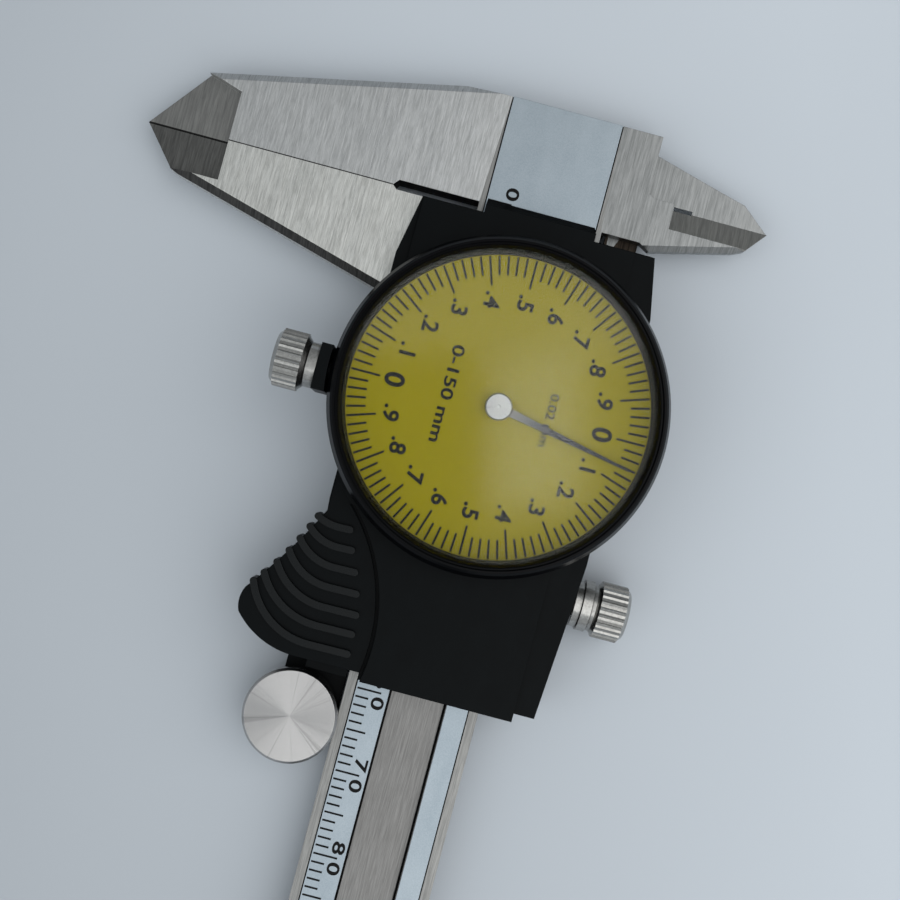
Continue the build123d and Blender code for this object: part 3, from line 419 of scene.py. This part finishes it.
def beam_zone(centre, normal):
    """0 ground steel, 1 satin chrome, 2 brushed groove, 3 tip, 4 narrow slots, panel lines and a
    relief wall in painted shade, 5 ledges, 6 the block and blade of the inside jaw, 7 its
    hollow-ground knife."""
    # Painted shade: the slots, the lines beside the raised panels and the relief wall take
    # slot_shade.
    in_groove_slot = groove_floor - 0.4 < centre.z < groove_floor - near_height
    if in_groove_slot and abs(centre.y) < slot_half:
        return 4
    in_panel_line = jaw_top - 0.25 < centre.z < panel_top - 0.1
    if in_panel_line and panel_half - 0.01 < abs(centre.y) < panel_half + 0.2:
        return 4
    if normal.x > 0.5 and relief_end < centre.y < -beam_half:
        return 4
    if level_face(centre, normal, panel_top):
        return 1
    if level_face(centre, normal, groove_floor) and abs(centre.y) < panel_half:
        return 2
    if centre.x > ledge_start and abs(centre.y) > panel_half:
        return 5
    if ground_tip(centre, normal):
        return 3
    if centre.y > knife_start and abs(normal.x) > 0.2 and normal.z > 0.2 and centre.x < -3.3:
        return 7
    if centre.y > block_low:
        return 6
    return 0


def slider_zone(centre, normal):
    """0 ground steel, 1 darker ground tip in painted shade, 2 the arm and walls in painted shade,
    3 the blade, 4 the outer bevel of the jaw in painted shade."""
    # Painted shade: the moving jaw's tip takes a darker copy of the steel.
    if ground_tip(centre, normal):
        return 1
    # Painted shade: the jaw's outer bevel takes a dark copy of the steel.
    if centre.y < -beam_half and normal.x > 0.2 and normal.z > 0.2:
        return 4
    if centre.y > beam_half and centre.x < blade_side:
        return 3
    # Painted shade: the arm beside the inside jaws and the walls near it take a dark copy of the
    # steel.
    if beam_half < centre.y < arm_end and normal.z > level and 3 < centre.z < 3.5:
        return 2
    if relief_end < centre.y < -beam_half and centre.x < 1.2 and normal.z < 0.5:
        return 2
    if abs(centre.y) < arm_end and centre.x < 3 and centre.z < 2:
        return 2
    return 0


def cover_zone(centre, normal):
    """0 grained black, 1 the ribs' tops, rubbed and lighter with painted light, 2 walls that face
    the jaws or stand by a rib, darker with painted shade.
    """
    # Painted light: the ribs' tops take a lighter, glossier black, which also stands for rubbing
    # wear.
    if normal.z > level and abs(centre.z - rib_top) < 0.03:
        return 1
    # Painted shade: walls beside the ribs and walls facing the jaws take a darker black.
    if normal.z < 0.5 and rib_top - 0.5 < centre.z < rib_top and centre.y < 0:
        return 2
    if normal.x < -0.2 and centre.x < 3:
        return 2
    return 0


# Printed and filled marks

class Marks:
    """One mesh of thin flat marks."""

    def __init__(self):
        self.mesh = bmesh.new()

    def bar(self, x0, x1, y0, y1, low, high, turn=None):
        """A thin block, turned by a matrix if one is given."""
        made = bmesh.ops.create_cube(self.mesh, size=1.0)["verts"]
        size = Matrix.Diagonal(((x1 - x0), (y1 - y0), (high - low), 1.0))
        shift = Matrix.Translation(((x0 + x1) / 2, (y0 + y1) / 2, (low + high) / 2))
        placed = (turn or Matrix.Identity(4)) @ shift @ size
        bmesh.ops.transform(self.mesh, matrix=placed, verts=made)

    def text(self, words, x, y, low, high, height, stretch=1.0, thin=0.0):
        """Words centred on a point, of a given height of their figures."""
        curve = bpy.data.curves.new("words", "FONT")
        curve.body = words
        curve.size = 1.0
        curve.offset = thin
        curve.resolution_u = 4
        curve.extrude = 0.5
        item = bpy.data.objects.new("words", curve)
        bpy.context.scene.collection.objects.link(item)
        bpy.context.view_layer.update()
        graph = bpy.context.evaluated_depsgraph_get()
        made = bpy.data.meshes.new_from_object(item.evaluated_get(graph))
        spots = [vertex.co.copy() for vertex in made.vertices]
        x_low, x_high = min(s.x for s in spots), max(s.x for s in spots)
        y_low, y_high = min(s.y for s in spots), max(s.y for s in spots)
        scale = height / (y_high - y_low)
        middle = Vector(((x_low + x_high) / 2, (y_low + y_high) / 2, 0))
        for vertex in made.vertices:
            spot = (vertex.co - middle) * scale
            tall = high if vertex.co.z > 0 else low
            vertex.co = (x + spot.x * stretch, y + spot.y, tall)
        self.mesh.from_mesh(made)
        bpy.data.objects.remove(item)
        bpy.data.curves.remove(curve)
        bpy.data.meshes.remove(made)

    def finish(self, name, material, body):
        """Turns the marks into one object that rides on a body."""
        bmesh.ops.scale(self.mesh, vec=(MM, MM, MM), verts=self.mesh.verts)
        mesh = bpy.data.meshes.new(name)
        self.mesh.to_mesh(mesh)
        self.mesh.free()
        item = bpy.data.objects.new(name, mesh)
        bpy.context.scene.collection.objects.link(item)
        mesh.materials.append(material)
        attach(item, body)
        return item


# The zero graduation's place along the beam, a graduation's width, and how far marks stand proud
first_tick = -1.17
tick_width = 0.23
mark_rise = 0.012
mark_sink = 0.01

# Reach of the graduations across the beam, and the line of their numbers
tick_outer = -6.6
tick_inner = {"ten": -3.7, "five": -4.31, "one": -5.02}
number_line = -3.85

# Radii of the dial's marks
dial_tick_outer = 17.15
dial_tick_inner = {"five": 13.8, "one": 14.95}
dial_tick_half = 0.13
figure_radius = 12.1


def beam_scale(black):
    """Millimetre graduations and their numbers on the beam's lower strip."""
    marks = Marks()
    low, high = panel_top - mark_sink, panel_top + mark_rise
    for count in range(151):
        x = count + first_tick
        rank = "ten" if count % 10 == 0 else "five" if count % 5 == 0 else "one"
        marks.bar(x - tick_width / 2, x + tick_width / 2, tick_outer, tick_inner[rank], low, high)
    for tens in range(16):
        x = tens * 10 + first_tick
        if tens == 0:
            marks.text("0", x - 1.28, -3.9, low, high, 1.6, 1.5, 0.02)
            continue
        left = x - (1.22 if tens < 10 else 1.9)
        marks.text(str(tens), left, number_line, low, high, 1.55, 1.5, 0.02)
        marks.text("0", x + 1.27, number_line, low, high, 1.55, 1.5, 0.02)
    item = marks.finish("beam_scale", black, "beam")


def dial_print(black):
    """Dial ticks, figures and two lines of small words, on the dial."""
    marks = Marks()
    low, high = dial_top - mark_sink, dial_top + mark_rise
    centre = Matrix.Translation((dial_x, dial_y, 0))
    for count in range(100):
        turn = centre @ Matrix.Rotation(-math.radians(count * 3.6), 4, "Z")
        inner = dial_tick_inner["five" if count % 5 == 0 else "one"]
        marks.bar(-dial_tick_half, dial_tick_half, inner, dial_tick_outer, low, high, turn)
    for count in range(20):
        turn = math.radians(90 - count * 18)
        x = dial_x + figure_radius * math.cos(turn)
        y = dial_y + figure_radius * math.sin(turn)
        if count % 10 == 0:
            marks.text("0", x, y, low, high, 2.4, 1.05, 0.028)
        else:
            marks.text(f".{count % 10}", x, y, low, high, 1.95, 1.05, 0.028)
    marks.text("0.02 mm", dial_x, dial_y + 5.9, low, high, 1.05, 1.25, 0.02)
    marks.text("0-150 mm", dial_x, dial_y - 6.0, low, high, 1.45, 1.42, 0.022)
    item = marks.finish("dial_print", black, "bezel")


# Light, floor and backdrop

def make_floor():
    """A plain pale floor under the caliper, with painted light that makes it paler towards the
    picture's upper right.
    """
    mesh = bpy.data.meshes.new("floor")
    half = 2.5
    corners = [(-half, -half, 0), (half, -half, 0), (half, half, 0), (-half, half, 0)]
    mesh.from_pydata(corners, [], [(0, 1, 2, 3)])
    floor = bpy.data.objects.new("floor", mesh)
    floor.location.z = -0.05 * MM
    bpy.context.scene.collection.objects.link(floor)
    paint = Paint("floor", 0)
    cloud = paint.noise((0.005, 0.008, 0.008), 2.0, 0.5)
    tone = paint.ramp(cloud, [(0.3, (0.50, 0.542, 0.585)), (0.7, (0.55, 0.596, 0.643))])
    coords = paint.node("ShaderNodeTexCoord")
    split = paint.node("ShaderNodeSeparateXYZ")
    paint.link(coords.outputs["Object"], split.inputs[0])
    # Painted light: the floor's colour grows paler towards the picture's upper right.
    lean = paint.math("MULTIPLY", split.outputs["X"], -0.35)
    painted_light_slope = paint.node("ShaderNodeMapRange")
    painted_light_slope.inputs["From Min"].default_value = -0.082
    painted_light_slope.inputs["From Max"].default_value = 0.038
    painted_light_slope.inputs["To Min"].default_value = 0.77
    painted_light_slope.inputs["To Max"].default_value = 1.11
    paint.link(paint.math("ADD", split.outputs["Y"], lean), painted_light_slope.inputs["Value"])
    paint.link(paint.multiply(tone, painted_light_slope.outputs["Result"]), paint.shader.inputs["Base Color"])
    paint.set("Roughness", 0.75)
    mesh.materials.append(paint.material)


def make_lamp(name, place, target, size, power, colour):
    """A square soft lamp, aimed at a point."""
    data = bpy.data.lights.new(name, "AREA")
    data.shape = "SQUARE"
    data.size = size
    data.energy = power
    data.color = colour
    lamp = bpy.data.objects.new(name, data)
    lamp.location = Vector(place)
    aim = (Vector(target) - Vector(place)).to_track_quat("-Z", "Y")
    lamp.rotation_euler = aim.to_euler()
    bpy.context.scene.collection.objects.link(lamp)


def make_panel(name, across, up, width, height, glow):
    """A level panel one metre up that lights the crystal alone, as soft glare.

    Its place is given along the picture's right and up, in metres from the beam's zero."""
    data = bpy.data.lights.new(name, "AREA")
    data.shape = "RECTANGLE"
    data.size = width
    data.size_y = height
    data.energy = glow * math.pi * width * height
    lamp = bpy.data.objects.new(name, data)
    cosine, sine = math.cos(view_turn), math.sin(view_turn)
    lamp.location = (across * cosine - up * sine, across * sine + up * cosine, 1.0)
    lamp.rotation_euler = (0, 0, view_turn)
    bpy.context.scene.collection.objects.link(lamp)
    lit = bpy.data.collections.new(name)
    lit.objects.link(nodes["crystal"])
    lamp.light_linking.receiver_collection = lit


def make_world():
    """A pale sky, brighter overhead than at its edge."""
    world = bpy.data.worlds.new("world")
    world.use_nodes = True
    tree = world.node_tree
    tree.nodes.clear()
    out = tree.nodes.new("ShaderNodeOutputWorld")
    back = tree.nodes.new("ShaderNodeBackground")
    coords = tree.nodes.new("ShaderNodeTexCoord")
    split = tree.nodes.new("ShaderNodeSeparateXYZ")
    ramp = tree.nodes.new("ShaderNodeValToRGB")
    ramp.color_ramp.elements[0].position = 0.0
    ramp.color_ramp.elements[0].color = (0.36, 0.38, 0.40, 1)
    ramp.color_ramp.elements[1].position = 1.0
    ramp.color_ramp.elements[1].color = (0.66, 0.69, 0.71, 1)
    tree.links.new(coords.outputs["Generated"], split.inputs[0])
    tree.links.new(split.outputs["Z"], ramp.inputs[0])
    lean = tree.nodes.new("ShaderNodeMapRange")
    lean.inputs["From Min"].default_value = -0.6
    lean.inputs["From Max"].default_value = 0.6
    lean.inputs["To Min"].default_value = 0.78
    lean.inputs["To Max"].default_value = 1.3
    tree.links.new(split.outputs["X"], lean.inputs["Value"])
    shade = tree.nodes.new("ShaderNodeMix")
    shade.data_type = "RGBA"
    shade.blend_type = "MULTIPLY"
    shade.inputs["Factor"].default_value = 1.0
    tree.links.new(ramp.outputs[0], shade.inputs[6])
    tree.links.new(lean.outputs["Result"], shade.inputs[7])
    tree.links.new(shade.outputs[2], back.inputs["Color"])
    back.inputs["Strength"].default_value = 0.82
    tree.links.new(back.outputs[0], out.inputs[0])
    bpy.context.scene.world = world


steels = {
    "jaw_steel": ((0.40, 0.405, 0.40), (0.61, 0.615, 0.61), 0.34, 7.5, 1.6, 0.07),
    "slide_steel": ((0.46, 0.46, 0.435), (0.75, 0.75, 0.715), 0.34, 7.5, 1.6, 0.07),
    "tip_steel": ((0.16, 0.16, 0.155), (0.24, 0.24, 0.23), 0.42, 5.0, 1.0, 0.12),
    # Painted shade: a darker copy of the steel for the moving jaw's tip.
    "slide_tip_shade_steel": ((0.075, 0.075, 0.072), (0.13, 0.13, 0.125), 0.42, 5.0, 1.0, 0.12),
    # Painted shade: a dark copy of the steel for the moving jaw's outer bevel.
    "bevel_shade_steel": ((0.03, 0.03, 0.03), (0.07, 0.07, 0.068), 0.45, 5.0),
    "knife_steel": ((0.19, 0.19, 0.18), (0.28, 0.28, 0.265), 0.42, 5.0),
    "block_steel": ((0.20, 0.207, 0.205), (0.32, 0.327, 0.325), 0.36, 5.5),
    "groove_steel": ((0.162, 0.159, 0.154), (0.245, 0.242, 0.236), 0.38, 8.0),
    "ledge_steel": ((0.20, 0.20, 0.195), (0.31, 0.31, 0.30), 0.38, 8.0),
    # Painted shade: a dark copy of the steel for the slider's arm and the walls beside it.
    "arm_shade_steel": ((0.02, 0.016, 0.013), (0.06, 0.048, 0.038), 0.5, 7.0),
}

metals = {
    "slot_shade": ((0.010, 0.010, 0.010), (0.020, 0.020, 0.020), 0.6),
    "screw_steel": ((0.42, 0.42, 0.42), (0.58, 0.58, 0.58), 0.34),
    "spring_steel": ((0.2, 0.22, 0.27), (0.3, 0.32, 0.36), 0.35),
    "rack_steel": ((0.34, 0.34, 0.34), (0.46, 0.46, 0.46), 0.38),
    "gear_brass": ((0.60, 0.42, 0.15), (0.72, 0.54, 0.24), 0.32),
    "bronze": ((0.45, 0.28, 0.13), (0.55, 0.36, 0.18), 0.38),
}

blacks = {
    "cover_black": ((0.0010, 0.0018, 0.0022), 0.42, 7.0, 0.012, 0.12),
    "bezel_black": ((0.0010, 0.0012, 0.0016), 0.25, 4.0, 0.002, 0.1),
    # A lighter black for the ribs' tops: rubbing wear and painted light.
    "rubbed_and_lit_black": ((0.0022, 0.0032, 0.0036), 0.3, 7.0, 0.004, 0.12, 0.2),
    # Painted shade: a darker black for recessed walls.
    "recess_shade_black": ((0.0006, 0.0006, 0.0006), 0.7, 7.0, 0.008, 0.05, 0.02),
}


def make_finishes():
    """Every material that more than one solid or zone may take, by name."""
    made = {name: ground_steel(name, *values) for name, values in steels.items()}
    made.update({name: plain_metal(name, *values) for name, values in metals.items()})
    made.update({name: moulded_black(name, *values) for name, values in blacks.items()})
    made["satin_chrome"] = satin_chrome("satin_chrome", (0.30, 0.352, 0.392),
                                        (0.398, 0.452, 0.492), 0.42)
    made["knurled_steel"] = knurled_steel()
    made["mark_black"] = ink("mark_black", (0.004, 0.004, 0.004))
    return made


# Zones in the order that the functions above number them
beam_finishes = ["jaw_steel", "satin_chrome", "groove_steel", "tip_steel", "slot_shade",
                 "ledge_steel", "block_steel", "knife_steel"]
slider_finishes = ["slide_steel", "slide_tip_shade_steel", "arm_shade_steel", "block_steel", "bevel_shade_steel"]
cover_finishes = ["cover_black", "rubbed_and_lit_black", "recess_shade_black"]

whole_solids = {
    "jaw_steel": ("end_stop", "depth_rod"),
    "rack_steel": ("rack", "pinion_arbor", "centre_arbor"),
    "screw_steel": ("rack_screws", "end_stop_screws", "gib_screws", "depth_rod_screws",
                    "cover_screws", "bracket_screws", "bridge_screws", "plate_screws"),
    "spring_steel": ("roller_clip", "backlash_spring", "bezel_spring"),
    "gear_brass": ("movement_plate", "movement_pillars", "movement_bridge", "drive_gear",
                   "backlash_gear"),
    "bronze": ("arbor_bushes", "gib_strip"),
    "cover_black": ("roller_bracket", "clamp_shoe"),
    "bezel_black": ("bezel",),
    "knurled_steel": ("lock_screw", "clamp_screw"),
}


def dress_all():
    """Gives every solid its finish, and lays the printed marks on the beam and the dial."""
    made = make_finishes()
    dress_faces("beam", [made[name] for name in beam_finishes], beam_zone)
    dress_faces("slider", [made[name] for name in slider_finishes], slider_zone)
    dress_faces("cover", [made[name] for name in cover_finishes], cover_zone)
    for finish, solids in whole_solids.items():
        for name in solids:
            dress(name, made[finish])
    dress("dial_plate", dial_yellow())
    dress("crystal", clear_plastic())
    dress("needle", needle_dark())
    dress("needle_hub", turned_face("hub_face", (0.26, 0.257, 0.254), (0.40, 0.396, 0.392), 0.36,
                                    dial_x, dial_y, 0.6))
    dress("thumb_roller", turned_face("roller_face", (0.41, 0.405, 0.40), (0.54, 0.53, 0.52), 0.24,
                                      roller_x, roller_y, 0.9))
    beam_scale(made["mark_black"])
    dial_print(made["mark_black"])


def main():
    bpy.context.scene.view_settings.view_transform = "Standard"
    make_camera()
    make_world()
    make_floor()
    aim = (0.03, 0, 0)
    make_lamp("key", (0.1, 0.6, 0.75), aim, 1.4, 7.0, (1.0, 0.99, 0.98))
    make_lamp("fill", (0.5, -0.6, 0.7), aim, 0.9, 2.1, (0.97, 0.99, 1.0))
    make_panel("glare_top", 0.05, 0.145, 0.32, 0.128, 2.4)
    make_panel("glare_side", 0.08, 0.015, 0.082, 0.132, 4.6)
    dress_all()


main()
